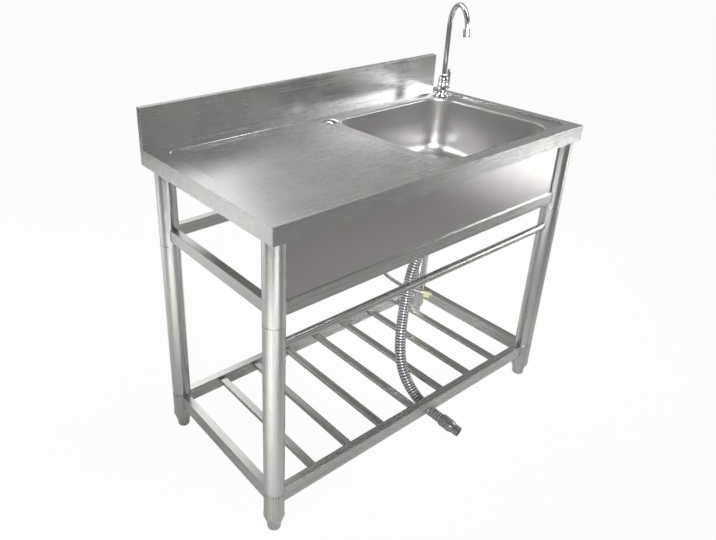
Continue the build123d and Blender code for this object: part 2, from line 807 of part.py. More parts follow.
basket_r = cup_inner_r - basket_gap
basket_top = flange_top + basket_wall + collar_gap
basket_floor = basket_top - basket_depth
with BuildPart() as strainer_basket:
    with BuildSketch(bowl_section):
        Polygon(
            (0, basket_floor),
            (basket_r - basket_taper, basket_floor),
            (basket_r, basket_top - basket_wall),
            (basket_r + basket_gap + basket_rim, basket_top - basket_wall),
            (basket_r + basket_gap + basket_rim, basket_top),
            (basket_r - basket_wall, basket_top),
            (basket_r - basket_taper - basket_wall, basket_floor + basket_wall),
            (basket_post_r, basket_floor + basket_wall),
            (basket_post_r, basket_top + basket_post_stand),
            (0, basket_top + basket_post_stand),
            align=None,
        )
    revolve(axis=bowl_axis)
    with Locations((bowl_x, bowl_y, basket_floor)):
        for ring_r, count in ((basket_inner_ring, basket_holes // 2), (basket_outer_ring, basket_holes)):
            with PolarLocations(ring_r * basket_r, count):
                Cylinder(basket_hole_r, 4 * basket_wall, mode=Mode.SUBTRACT)
write(strainer_basket, "strainer_basket")

with BuildPart() as basket_plug_seal:
    with BuildSketch(Plane.XY.offset(basket_floor)):
        with Locations((bowl_x, bowl_y)):
            Circle(plug_seal_r)
    extrude(amount=-plug_seal_height)
write(basket_plug_seal, "basket_plug_seal")

with BuildPart() as strainer_gasket:
    with BuildSketch(Plane.XY.offset(sheet_underside)):
        with Locations((bowl_x, bowl_y)):
            Circle(strainer_flange_r)
            Circle(strainer_cup_r + slip_gap, mode=Mode.SUBTRACT)
    extrude(amount=-strainer_gasket_height)
write(strainer_gasket, "strainer_gasket")

with BuildPart() as strainer_lock_nut:
    with BuildSketch(Plane.XY.offset(strainer_nut_top)):
        with Locations((bowl_x, bowl_y)):
            Circle(strainer_nut_r - lug_r)
            with PolarLocations(strainer_nut_r - lug_r, strainer_nut_lugs):
                Circle(lug_r)
            Circle(strainer_cup_r + slip_gap, mode=Mode.SUBTRACT)
    extrude(amount=-strainer_nut_height)
write(strainer_lock_nut, "strainer_lock_nut")

with BuildPart() as drain_union_nut:
    with BuildSketch(Plane.XY.offset(union_nut_bottom)):
        with Locations((bowl_x, bowl_y)):
            Circle(union_nut_r - union_nut_rib_r)
            with PolarLocations(union_nut_r - union_nut_rib_r, union_nut_ribs):
                Circle(union_nut_rib_r)
            Circle(tail_r + slip_gap, mode=Mode.SUBTRACT)
    extrude(amount=union_nut_height)
    with BuildSketch(Plane.XY.offset(tail_flange_bottom)):
        with Locations((bowl_x, bowl_y)):
            Circle(outlet_r + slip_gap)
    extrude(amount=union_nut_height, mode=Mode.SUBTRACT)
write(drain_union_nut, "drain_union_nut")

hose_start = drain_route[0][2]
with BuildPart() as drain_tailpiece:
    with BuildSketch(bowl_section):
        Polygon(
            (tail_bore_r, outlet_bottom),
            (tail_flange_r, outlet_bottom),
            (tail_flange_r, tail_flange_bottom),
            (tail_r, tail_flange_bottom),
            (tail_r, hose_start),
            (tail_bore_r, hose_start),
            align=None,
        )
    revolve(axis=bowl_axis)
write(drain_tailpiece, "drain_tailpiece")

# ---------------------------------------------------------------- drain hose
drain_path = route_path(drain_route, "drain hose", 2 * hose_r)
drain_length = drain_path.length
rib_count = int((drain_length - 4 * hose_r) / hose_rib_pitch)
plain_end = (drain_length - rib_count * hose_rib_pitch) / 2
rib_profile = [
    (0.0, hose_valley_r),
    (rib_rise_from, hose_valley_r),
    (rib_crest_from, hose_r),
    (rib_crest_to, hose_r),
]


def across(path, distance):
    """The plane square to a path at a distance along it, its X axis kept steady."""
    share = distance / path.length
    return Plane(origin=path @ share, x_dir=(1, 0, 0), z_dir=path % share)


with BuildPart() as drain_hose:
    with BuildSketch(across(drain_path, 0)):
        Circle(hose_valley_r)
    for rib in range(rib_count):
        for share, radius in rib_profile:
            with BuildSketch(across(drain_path, plain_end + (rib + share) * hose_rib_pitch)):
                Circle(radius)
    for distance in (drain_length - plain_end, drain_length):
        with BuildSketch(across(drain_path, distance)):
            Circle(hose_valley_r)
    loft(ruled=True)
    with BuildSketch(across(drain_path, 0)):
        Circle(hose_bore_r)
    sweep(path=drain_path, mode=Mode.SUBTRACT)
write(drain_hose, "drain_hose")
print("drain hose length", round(drain_length, 1), "ribs", rib_count, "volume", round(drain_hose.part.volume))

cuff_plane = across(drain_path, drain_length)
with BuildPart() as hose_cuff:
    with BuildSketch(cuff_plane):
        Circle(cuff_r)
    extrude(amount=cuff_length)
    with BuildSketch(cuff_plane.offset(cuff_length)):
        Circle(cuff_r)
    with BuildSketch(cuff_plane.offset(cuff_length + cuff_cone)):
        Circle(cuff_outlet_r)
    loft()
    with BuildSketch(cuff_plane.offset(cuff_length + cuff_cone)):
        Circle(cuff_outlet_r)
    extrude(amount=cuff_outlet_length)
    with BuildSketch(cuff_plane):
        Circle(cuff_bore_r)
    extrude(amount=cuff_length + cuff_cone + cuff_outlet_length, mode=Mode.SUBTRACT)
write(hose_cuff, "hose_cuff")

# ---------------------------------------------------------------- supply hose
supply_path = route_path(supply_route, "supply hose", 2 * supply_r)
supply_top = supply_route[0][2]
with BuildPart() as supply_hose:
    with BuildSketch(across(supply_path, 0)):
        Circle(supply_r)
    sweep(path=supply_path)
write(supply_hose, "supply_hose")
print(
    "supply hose length",
    round(supply_path.length, 1),
    "volume",
    round(supply_hose.part.volume),
    "section x length",
    round(pi * supply_r**2 * supply_path.length),
)

with BuildPart() as supply_top_nut:
    with BuildSketch(Plane.XY.offset(supply_top)):
        with Locations((tap_x, tap_y)):
            Circle(supply_ferrule_r)
    extrude(amount=supply_ferrule_length)
    with BuildSketch(Plane.XY.offset(supply_top + supply_ferrule_length)):
        with Locations((tap_x, tap_y)):
            RegularPolygon(supply_nut_flats / 2, 6, major_radius=False)
    extrude(amount=supply_nut_height)
    with BuildSketch(Plane.XY.offset(tap_shank_bottom)):
        with Locations((tap_x, tap_y)):
            Circle(tap_shank_r + slip_gap)
    extrude(amount=supply_nut_height, mode=Mode.SUBTRACT)
write(supply_top_nut, "supply_top_nut")

tail_plane = across(supply_path, supply_path.length)
with BuildPart() as supply_tail_nut:
    with BuildSketch(tail_plane):
        Circle(supply_ferrule_r)
    extrude(amount=tail_nut_ferrule_length)
    with BuildSketch(tail_plane.offset(tail_nut_ferrule_length)):
        RegularPolygon(tail_nut_flats / 2, 6, major_radius=False)
    extrude(amount=tail_nut_length)
    with BuildSketch(tail_plane.offset(tail_nut_ferrule_length + tail_nut_length)):
        Circle(tail_thread_r)
    extrude(amount=tail_thread_length)
    with BuildSketch(tail_plane.offset(tail_nut_ferrule_length + tail_nut_length + tail_thread_length)):
        Circle(tail_bore_r)
    extrude(amount=-(tail_nut_length + tail_thread_length), mode=Mode.SUBTRACT)
write(supply_tail_nut, "supply_tail_nut")
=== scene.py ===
"""Kitchen sink unit: finishes, hoses, tap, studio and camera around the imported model."""
import json
import logging
import math
from dataclasses import dataclass, field
from enum import Enum
from typing import Any, Dict, List, Optional, Sequence, Tuple, Union

import bmesh
import bpy
from mathutils import Matrix, Vector

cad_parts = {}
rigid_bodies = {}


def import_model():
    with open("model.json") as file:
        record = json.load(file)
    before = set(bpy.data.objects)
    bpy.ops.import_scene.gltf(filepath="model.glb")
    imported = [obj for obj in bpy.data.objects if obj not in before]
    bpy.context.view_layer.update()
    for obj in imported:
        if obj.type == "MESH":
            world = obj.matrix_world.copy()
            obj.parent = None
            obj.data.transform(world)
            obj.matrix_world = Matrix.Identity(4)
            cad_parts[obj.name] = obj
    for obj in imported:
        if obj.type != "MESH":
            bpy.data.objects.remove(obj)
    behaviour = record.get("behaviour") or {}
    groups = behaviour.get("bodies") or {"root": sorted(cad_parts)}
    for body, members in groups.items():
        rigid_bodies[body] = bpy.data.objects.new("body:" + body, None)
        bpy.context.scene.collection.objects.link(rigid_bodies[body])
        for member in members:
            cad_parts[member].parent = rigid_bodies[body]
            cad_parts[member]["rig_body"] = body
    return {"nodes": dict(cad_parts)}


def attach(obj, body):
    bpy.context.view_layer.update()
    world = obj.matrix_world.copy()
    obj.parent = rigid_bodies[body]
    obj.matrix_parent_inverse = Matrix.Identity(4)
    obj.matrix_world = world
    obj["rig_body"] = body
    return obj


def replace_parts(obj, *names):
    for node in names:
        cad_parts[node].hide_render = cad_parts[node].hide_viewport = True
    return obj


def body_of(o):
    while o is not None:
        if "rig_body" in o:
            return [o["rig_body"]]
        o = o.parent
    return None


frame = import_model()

log = logging.getLogger("sink_unit")
Colour = Tuple[float, float, float]
Point = Tuple[float, float, float]
Number = Union[float, "Value"]

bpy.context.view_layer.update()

TURN = 2 * math.pi
MERGE = 1e-6  # metres: corners closer than this become one
FLAT = math.radians(0.4)  # faces that meet at less than this become one
SHARP = math.radians(40.0)  # edges that turn by more than this are eased
SENSOR_WIDTH = 36.0  # millimetres
WHITE: Colour = (1.0, 1.0, 1.0)
WARM_WHITE: Colour = (1.0, 0.995, 0.98)


# ------------------------------------------------------------------ shader maths
class Value:
    """A number that varies over a surface. Sums on it add Math nodes."""

    def __init__(self, paint: "Paint", socket: Any) -> None:
        """Wraps one output socket of a paint's node tree."""
        self.paint = paint
        self.socket = socket

    def _math(self, operation: str, first: Number, second: Number) -> "Value":
        """Adds one Math node.

        Args:
            operation: the Math node's operation.
            first: its first operand.
            second: its second operand.

        Returns:
            The node's result.
        """
        return self.paint.node("ShaderNodeMath", {"operation": operation}, {0: first, 1: second})

    def __add__(self, other: Number) -> "Value":
        """Sum."""
        return self._math("ADD", self, other)

    def __radd__(self, other: Number) -> "Value":
        """Sum, with the number first."""
        return self._math("ADD", other, self)

    def __sub__(self, other: Number) -> "Value":
        """Difference."""
        return self._math("SUBTRACT", self, other)

    def __rsub__(self, other: Number) -> "Value":
        """Difference, with the number first."""
        return self._math("SUBTRACT", other, self)

    def __mul__(self, other: Number) -> "Value":
        """Product."""
        return self._math("MULTIPLY", self, other)

    def __rmul__(self, other: Number) -> "Value":
        """Product, with the number first."""
        return self._math("MULTIPLY", other, self)

    def ramp(self, low: float, high: float) -> "Value":
        """The share of the way from low to high, held between 0 and 1."""
        return self.paint.node(
            "ShaderNodeMapRange", {"clamp": True}, {"Value": self, "From Min": low, "From Max": high}
        )


class Paint:
    """One procedural material, or the sky, and the nodes in it."""

    def __init__(self, name: str, sky: bool = False) -> None:
        """Starts an empty node tree with its shader at its end.

        Args:
            name: the material's or the sky's name.
            sky: whether it is the sky.
        """
        self.material = (bpy.data.worlds if sky else bpy.data.materials).new(name)
        self.material.use_nodes = True
        self.tree = self.material.node_tree
        self.tree.nodes.clear()
        self.end = self.tree.nodes.new("ShaderNodeOutputWorld" if sky else "ShaderNodeOutputMaterial")
        self.shader = self.tree.nodes.new("ShaderNodeBackground" if sky else "ShaderNodeBsdfPrincipled")
        self.finish_with(Value(self, self.shader.outputs[0]))

    def finish_with(self, surface: Value) -> None:
        """Makes a shader the one that shows."""
        self.feed(self.end.inputs["Surface"], surface)

    def feed(self, socket: Any, value: Any) -> None:
        """Links a value to a socket, or sets the socket to a constant."""
        if isinstance(value, Value):
            self.tree.links.new(value.socket, socket)
        else:
            socket.default_value = value

    def node(
        self,
        kind: str,
        settings: Optional[Dict[str, Any]] = None,
        sockets: Optional[Dict[Union[str, int], Any]] = None,
        output: Union[str, int] = 0,
    ) -> Value:
        """Adds any node.

        Args:
            kind: the node's type.
            settings: its own settings, set before its sockets.
            sockets: values or links, by the socket's name or place.
            output: the output that is handed back.

        Returns:
            That output, as a value.
        """
        made = self.tree.nodes.new(kind)
        for key, setting in (settings or {}).items():
            if key == "stops":
                ramp = made.color_ramp
                while len(ramp.elements) < len(setting):
                    ramp.elements.new(1.0)
                for element, (place, colour) in zip(ramp.elements, setting):
                    element.position = place
                    element.color = (*colour, 1.0)
            else:
                setattr(made, key, setting)
        for key, value in (sockets or {}).items():
            self.feed(made.inputs[key], value)
        return Value(self, made.outputs[output])

    def place(self, scale: Point) -> Value:
        """Object coordinates in metres, stretched by a scale."""
        here = self.node("ShaderNodeTexCoord", output="Object")
        return self.node("ShaderNodeMapping", {}, {"Vector": here, "Scale": scale})

    def noise(self, fineness: Union[float, Point], detail: float, roughness: float = 0.5) -> Value:
        """Adds noise between 0 and 1, laid out by Object coordinates.

        Args:
            fineness: its waves per metre, along each axis or alike along all.
            detail: how many finer waves lie on it.
            roughness: how strong the finer waves are.

        Returns:
            The noise.
        """
        scale = fineness if isinstance(fineness, tuple) else (fineness,) * 3
        return self.node(
            "ShaderNodeTexNoise",
            {},
            {"Vector": self.place(scale), "Scale": 1.0, "Detail": detail, "Roughness": roughness},
        )

    def blend(self, share: Number, first: Any, second: Any) -> Value:
        """A colour share of the way from the first to the second."""
        return self.node(
            "ShaderNodeMix",
            {"data_type": "RGBA"},
            {0: share, 6: self.colour(first), 7: self.colour(second)},
            2,
        )

    @staticmethod
    def colour(value: Any) -> Any:
        """A colour with its alpha, or a value as it is."""
        return value if isinstance(value, Value) else (*value, 1.0)

    def bump(self, height: Value, strength: float, distance: float) -> None:
        """Relief on the shader's normal, with its distance in metres."""
        normal = self.node(
            "ShaderNodeBump", {}, {"Strength": strength, "Distance": distance, "Height": height}
        )
        self.feed(self.shader.inputs["Normal"], normal)

    def weave(self, axis: int) -> Value:
        """One coordinate of the UV map named weave, 0 or 1."""
        where = self.node("ShaderNodeUVMap", {"uv_map": "weave"})
        return self.node("ShaderNodeSeparateXYZ", {}, {0: where}, axis)

    def wave(self, operation: str, angle: Value) -> Value:
        """The SINE or COSINE of an angle in radians."""
        return self.node("ShaderNodeMath", {"operation": operation}, {0: angle})

    def set(self, name: str, value: Any) -> None:
        """Gives the shader's own socket a constant or a varying value."""
        self.feed(self.shader.inputs[name], value)


# ------------------------------------------------------------------ finishes
class Grain(Enum):
    """The way that polishing lines run, as fineness per metre along each axis."""

    ALONG_X = (3.0, 1400.0, 1400.0)
    ALONG_Y = (1400.0, 3.0, 1400.0)
    ALONG_Z = (1400.0, 1400.0, 3.0)


@dataclass(frozen=True)
class BrushedSteel:
    """Stainless steel with fine polishing lines, broader bands, rubbed spots and dull patches.

    The shares of the lines, the bands and the patches in the colour add up to 1. Streaks, patch_dull
    and rub_dull are what the lines, the patches and the rubbed spots add to the roughness.
    """

    name: str
    colour: Colour
    grain: Grain
    roughness: float = 0.22
    streaks: float = 0.08
    depth: float = 0.000008
    cloud: float = 4.0
    bands: float = 0.2
    contrast: float = 0.08
    line_share: float = 0.2
    band_fineness: float = 0.14
    band_dull: float = 0.2
    patch_dull: float = 0.04
    rubs: Point = (11.0, 13.0, 11.0)
    rub_dull: float = 0.03

    def make(self) -> bpy.types.Material:
        """Builds the material."""
        paint = Paint(self.name)
        lines = paint.noise(self.grain.value, 2.0)
        broad = paint.noise(tuple(fine * self.band_fineness for fine in self.grain.value), 2.0, 0.55)
        broad = broad.ramp(0.3, 0.7)
        clouds = paint.noise(self.cloud, 2.0)
        rubbed = paint.noise(self.rubs, 3.0).ramp(0.42, 0.72)
        dark = tuple(c * (1.0 - self.contrast) for c in self.colour)
        light = tuple(min(1.0, c * (1.0 + self.contrast / 2)) for c in self.colour)
        shade = broad * self.bands + lines * self.line_share
        shade = shade + clouds * (1.0 - self.line_share - self.bands)
        paint.set("Base Color", paint.blend(shade, dark, light))
        paint.set("Metallic", 1.0)
        rough = self.roughness - self.streaks / 2 + lines * self.streaks
        rough = rough + broad * (self.bands * self.band_dull)
        rough = rough + clouds * self.patch_dull + rubbed * self.rub_dull
        paint.set("Roughness", rough)
        paint.bump(lines, 0.2, self.depth)
        return paint.material


@dataclass(frozen=True)
class Chrome:
    """Bright plating with faint water spots."""

    name: str
    colour: Colour = (0.80, 0.80, 0.81)
    roughness: float = 0.05
    film: float = 60.0
    film_dark: float = 0.93
    spots: float = 420.0

    def make(self) -> bpy.types.Material:
        """Builds the material."""
        paint = Paint(self.name)
        film = paint.noise(self.film, 4.0, 0.6)
        spots = paint.noise(self.spots, 2.0).ramp(0.62, 0.76)
        dark = tuple(c * self.film_dark for c in self.colour)
        paint.set("Base Color", paint.blend(film, dark, self.colour))
        paint.set("Metallic", 1.0)
        paint.set("Roughness", self.roughness + film * 0.05 + spots * 0.10)
        paint.bump(film, 0.1, 0.00001)
        return paint.material


@dataclass(frozen=True)
class Moulded:
    """Moulded plastic or rubber with a fine skin and scuffs."""

    name: str
    colour: Colour
    roughness: float
    coat: float = 0.0
    skin: float = 900.0
    scuffs: float = 45.0
    pigment: float = 0.0

    def make(self) -> bpy.types.Material:
        """Builds the material."""
        paint = Paint(self.name)
        skin = paint.noise(self.skin, 3.0, 0.6)
        scuffs = paint.noise(self.scuffs, 5.0, 0.65).ramp(0.48, 0.75)
        pale = tuple(min(1.0, c * 1.35 + 0.02) for c in self.colour)
        paint.set("Base Color", paint.blend(scuffs * 0.5, self.colour, pale))
        paint.set("Roughness", self.roughness + skin * 0.10 + scuffs * 0.12)
        paint.set("Metallic", self.pigment)
        paint.set("Coat Weight", self.coat)
        paint.bump(skin, 0.25, 0.00004)
        return paint.material


@dataclass(frozen=True)
class RibbedPlastic:
    """Shiny corrugated plastic with a metallic grey pigment and dust in its roughness; its grooves are
    painted darker as shade.

    The ribs follow the hose by its UV map.
    """

    name: str
    colour: Colour
    # the colour of the painted shade in the grooves between the ribs
    groove_shade: Colour
    roughness: float = 0.16
    pigment: float = 0.55
    coat: float = 0.5
    dust: float = 60.0

    def make(self) -> bpy.types.Material:
        """Builds the material."""
        paint = Paint(self.name)
        rise = (1.0 - paint.wave("COSINE", paint.weave(1) * TURN)) * 0.5
        dust = paint.noise(self.dust, 4.0, 0.6)
        # painted shade: the grooves between the ribs are coloured darker, where shade falls
        paint.set("Base Color", paint.blend(rise.ramp(0.1, 0.7), self.groove_shade, self.colour))
        paint.set("Metallic", self.pigment)
        paint.set("Roughness", self.roughness + dust * 0.10 + (1.0 - rise) * 0.20)
        paint.set("Coat Weight", self.coat)
        paint.bump(dust, 0.15, 0.0002)
        return paint.material


@dataclass(frozen=True)
class PlainMetal:
    """Turned or cast metal with a dulled skin, such as brass or plated steel."""

    name: str
    colour: Colour
    dulled: Colour
    roughness: float = 0.3
    patches: float = 70.0
    lines: Point = (900.0, 900.0, 2200.0)

    def make(self) -> bpy.types.Material:
        """Builds the material."""
        paint = Paint(self.name)
        dull = paint.noise(self.patches, 5.0, 0.65).ramp(0.38, 0.70)
        lines = paint.noise(self.lines, 3.0, 0.6)
        paint.set("Base Color", paint.blend(dull, self.colour, self.dulled))
        paint.set("Metallic", 1.0)
        paint.set("Roughness", self.roughness + dull * 0.16 + lines * 0.06)
        paint.bump(lines, 0.3, 0.00003)
        return paint.material


@dataclass(frozen=True)
class WireBraid:
    """A sleeve of woven wire. The weave follows the hose by its UV map."""

    name: str
    colour: Colour
    gap: Colour
    roughness: float = 0.30
    metal: float = 0.85
    wear: float = 90.0

    def make(self) -> bpy.types.Material:
        """Builds the material."""
        paint = Paint(self.name)
        u = paint.weave(0)
        v = paint.weave(1)
        over = paint.wave("SINE", (u + v) * TURN)
        under = paint.wave("SINE", (u - v) * TURN)
        wires = (over * under) * 0.5 + 0.5
        wear = paint.noise(self.wear, 4.0, 0.6)
        paint.set("Base Color", paint.blend(wires * 0.8 + wear * 0.2, self.gap, self.colour))
        paint.set("Metallic", self.metal)
        paint.set("Roughness", self.roughness + wear * 0.2)
        paint.bump(wires, 0.6, 0.0004)
        return paint.material


# ------------------------------------------------------------------ making pieces
def finished(
    mesh: bpy.types.Mesh, name: str, body: str, material: bpy.types.Material
) -> bpy.types.Object:
    """Makes an object of a mesh, dresses it and sets it on its body.

    Args:
        mesh: the piece's mesh, in place.
        name: the piece's name.
        body: the CAD body that it rides on.
        material: its finish.

    Returns:
        The object.
    """
    piece = bpy.data.objects.new(name, mesh)
    bpy.context.scene.collection.objects.link(piece)
    mesh.materials.clear()
    mesh.materials.append(material)
    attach(piece, body)
    log.info("%s rides on %s", name, body)
    return piece


def smooth(mesh: bpy.types.Mesh, degrees: float) -> None:
    """Shades a mesh smooth, apart from edges sharper than an angle."""
    mesh.shade_smooth()
    mesh.set_sharp_from_angle(angle=math.radians(degrees))


def softened(node: str, edge: float, finish: bpy.types.Material, body: str) -> None:
    """Stands in for a CAD node with its edges eased, as a press brake or a polishing wheel leaves them.

    Args:
        node: the CAD node.
        edge: the width of the eased edge, in metres.
        finish: the material.
        body: the body that the node is on.
    """
    shape = bmesh.new()
    shape.from_mesh(frame["nodes"][node].data)
    bmesh.ops.remove_doubles(shape, verts=shape.verts, dist=MERGE)
    bmesh.ops.dissolve_limit(shape, angle_limit=FLAT, verts=shape.verts, edges=shape.edges)
    sharp = [e for e in shape.edges if len(e.link_faces) == 2 and e.calc_face_angle(0.0) > SHARP]
    bmesh.ops.bevel(
        shape,
        geom=sharp,
        offset=edge,
        offset_type="OFFSET",
        segments=2,
        profile=0.5,
        affect="EDGES",
        clamp_overlap=True,
        material=-1,
    )
    mesh = bpy.data.meshes.new(node + "_eased")
    shape.to_mesh(mesh)
    shape.free()
    smooth(mesh, degrees=22.0)
    piece = finished(mesh, node + "_eased", body, finish)
    flat = piece.modifiers.new("flat_faces", "WEIGHTED_NORMAL")
    flat.keep_sharp = True
    flat.weight = 100
    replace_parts(piece, node)


@dataclass(frozen=True)
class Lamp:
    """A soft oblong lamp: sizes in metres, power in watts, spread in degrees."""

    name: str
    place: Point
    aim: Point
    size: Tuple[float, float]
    power: float
    spread: float
    colour: Colour = WHITE


@dataclass
class Studio:
    """The pale floor, the soft lamps, the sky and the camera.

    Floor_seen is the share of plain white in the floor as the camera sees it, and floor_mirrored
    that share as metal sees it.
    """

    camera_at: Point = (-1.114156, -1.091494, 1.311196)
    yaw: float = 36.6325
    pitch: float = 25.6427
    focal_px: float = 655.088
    centre_px: Tuple[float, float] = (274.295, 220.177)
    image: Tuple[int, int] = (716, 540)
    floor_size: float = 30.0
    floor_colour: Colour = (0.80, 0.80, 0.80)
    floor_grit: Colour = (0.76, 0.76, 0.76)
    floor_below: float = 0.0008
    floor_seen: float = 0.96
    floor_mirrored: float = 0.03
    sky: Tuple[Tuple[float, Colour], ...] = (
        (0.0, (0.46, 0.46, 0.46)),
        (0.50, (0.38, 0.38, 0.38)),
        (0.75, (0.10, 0.10, 0.10)),
    )
    lamps: Tuple[Lamp, ...] = (
        Lamp("near_pool", (-1.15, -0.55, 2.0), (-1.15, -0.55, 0.0), (0.7, 0.4), 5.5, 46.0, WARM_WHITE),
        Lamp("front", (-1.6, -1.9, 1.9), (0.36, 0.1, 0.72), (0.8, 0.8), 8.0, 36.0),
        Lamp("tap_pool", (-0.7, -1.5, 2.0), (-0.7, -1.5, 0.0), (0.4, 0.4), 5.0, 36.0),
        Lamp("right", (2.6, -1.5, 1.4), (0.4, 0.1, 0.8), (0.8, 0.8), 6.5, 100.0),
        Lamp("right_pool", (2.4, -1.2, 2.0), (2.4, -1.2, 0.0), (0.4, 0.4), 11.0, 50.0),
        Lamp("hose", (-0.9, -1.3, 0.9), (0.13, -0.06, 0.25), (0.25, 0.5), 0.5, 24.0),
        Lamp("left_pool", (-1.7, 1.5, 2.0), (-1.5, 1.3, 0.0), (0.8, 0.8), 9.5, 70.0),
        Lamp("overhead", (0.6, 0.15, 2.2), (0.1, 0.15, 0.8), (1.8, 0.15), 3.0, 90.0),
        Lamp("back", (0.3, 1.9, 2.2), (0.1, 0.5, 0.3), (1.4, 1.4), 5.0, 120.0),
    )

    def set_camera(self) -> None:
        """Puts the camera where the photograph was taken."""
        data = bpy.data.cameras.new("camera")
        data.sensor_fit = "HORIZONTAL"
        data.sensor_width = SENSOR_WIDTH
        data.lens = SENSOR_WIDTH * self.focal_px / self.image[0]
        data.shift_x = (self.image[0] / 2 - self.centre_px[0]) / self.image[0]
        data.shift_y = (self.centre_px[1] - self.image[1] / 2) / self.image[0]
        camera = bpy.data.objects.new("camera", data)
        camera.location = self.camera_at
        camera.rotation_euler = (math.radians(90 - self.pitch), 0.0, math.radians(-self.yaw))
        bpy.context.scene.collection.objects.link(camera)
        bpy.context.scene.camera = camera

    def lay_floor(self) -> None:
        """Lays the pale floor. It reads white to the eye and in metal, and keeps the shadow."""
        shape = bmesh.new()
        bmesh.ops.create_grid(shape, x_segments=1, y_segments=1, size=self.floor_size / 2)
        mesh = bpy.data.meshes.new("floor")
        shape.to_mesh(mesh)
        shape.free()
        paint = Paint("floor_paint")
        grit = paint.noise(40.0, 3.0)
        paint.set("Base Color", paint.blend(grit * 0.1, self.floor_colour, self.floor_grit))
        paint.set("Roughness", 0.9)
        seen = paint.node("ShaderNodeLightPath", output="Is Camera Ray")
        glossy = paint.node("ShaderNodeLightPath", output="Is Glossy Ray")
        through = paint.node("ShaderNodeLightPath", output="Is Transmission Ray")
        white = seen * self.floor_seen + (glossy + through) * self.floor_mirrored
        glow = paint.node("ShaderNodeEmission", {}, {"Color": (*WHITE, 1.0), "Strength": 1.0})
        lit = Value(paint, paint.shader.outputs[0])
        paint.finish_with(paint.node("ShaderNodeMixShader", {}, {0: white, 1: lit, 2: glow}))
        mesh.materials.append(paint.material)
        floor = bpy.data.objects.new("floor", mesh)
        floor.location = (0.0, 0.0, -self.floor_below)
        bpy.context.scene.collection.objects.link(floor)

    def hang_lamps(self) -> None:
        """Hangs the soft lamps."""
        for lamp in self.lamps:
            data = bpy.data.lights.new(lamp.name, "AREA")
            data.shape = "RECTANGLE"
            data.size, data.size_y = lamp.size
            data.energy = lamp.power
            data.spread = math.radians(lamp.spread)
            data.color = lamp.colour
            hung = bpy.data.objects.new(lamp.name, data)
            hung.location = lamp.place
            aim = Vector(lamp.aim) - Vector(lamp.place)
            hung.rotation_euler = aim.to_track_quat("-Z", "Y").to_euler()
            bpy.context.scene.collection.objects.link(hung)

    def light_world(self) -> None:
        """A plain grey sky, paler at the horizon than overhead, that reads white to the eye."""
        sky = Paint("sky", sky=True)
        ahead = sky.node("ShaderNodeTexCoord", output="Generated")
        height = sky.node("ShaderNodeSeparateXYZ", {}, {0: ahead}, 2)
        grey = sky.node("ShaderNodeValToRGB", {"stops": self.sky}, {"Fac": height})
        seen = sky.node("ShaderNodeLightPath", output="Is Camera Ray")
        sky.set("Color", sky.blend(seen, grey, WHITE))
        bpy.context.scene.world = sky.material

    def build(self) -> None:
        """Sets up everything that isn't the object."""
        self.set_camera()
        self.lay_floor()
        self.hang_lamps()
        self.light_world()
        bpy.context.scene.view_settings.view_transform = "Standard"


@dataclass
class Route:
    """A hose's smooth line through given control points, in metres."""

    name: str
    points: List[Point]
    order: int = 3
    resolution: int = 24

    def curve(self) -> bpy.types.Object:
        """The NURBS line, with no thickness and not shown."""
        data = bpy.data.curves.new(self.name + "_line", "CURVE")
        data.dimensions = "3D"
        data.resolution_u = self.resolution
        spline = data.splines.new("NURBS")
        spline.points.add(len(self.points) - 1)
        for control, place in zip(spline.points, self.points):
            control.co = (*place, 1.0)
        spline.order_u = self.order
        spline.use_endpoint_u = True
        line = bpy.data.objects.new(self.name + "_line", data)
        bpy.context.scene.collection.objects.link(line)
        return line

    def samples(self, pitch: float) -> List[Tuple[Vector, Vector]]:
        """Places and headings along the line, evenly spaced.

        Args:
            pitch: the spacing, in metres.

        Returns:
            The place and the heading of each sample, from the fitting to the free end.
        """
        line = self.curve()
        mesh = bpy.data.meshes.new_from_object(line)
        corners = [vertex.co.copy() for vertex in mesh.vertices]
        bpy.data.meshes.remove(mesh)
        bpy.data.objects.remove(line)
        gone = [0.0]
        for before, after in zip(corners, corners[1:]):
            gone.append(gone[-1] + (after - before).length)
        count = round(gone[-1] / pitch)
        taken = []
        at = 0
        for step in range(count + 1):
            distance = gone[-1] * step / count
            while at < len(corners) - 2 and gone[at + 1] < distance:
                at += 1
            run = gone[at + 1] - gone[at]
            share = (distance - gone[at]) / run
            place = corners[at].lerp(corners[at + 1], share)
            ahead = corners[min(at + 2, len(corners) - 1)] - corners[max(at - 1, 0)]
            taken.append((place, ahead.normalized()))
        return taken


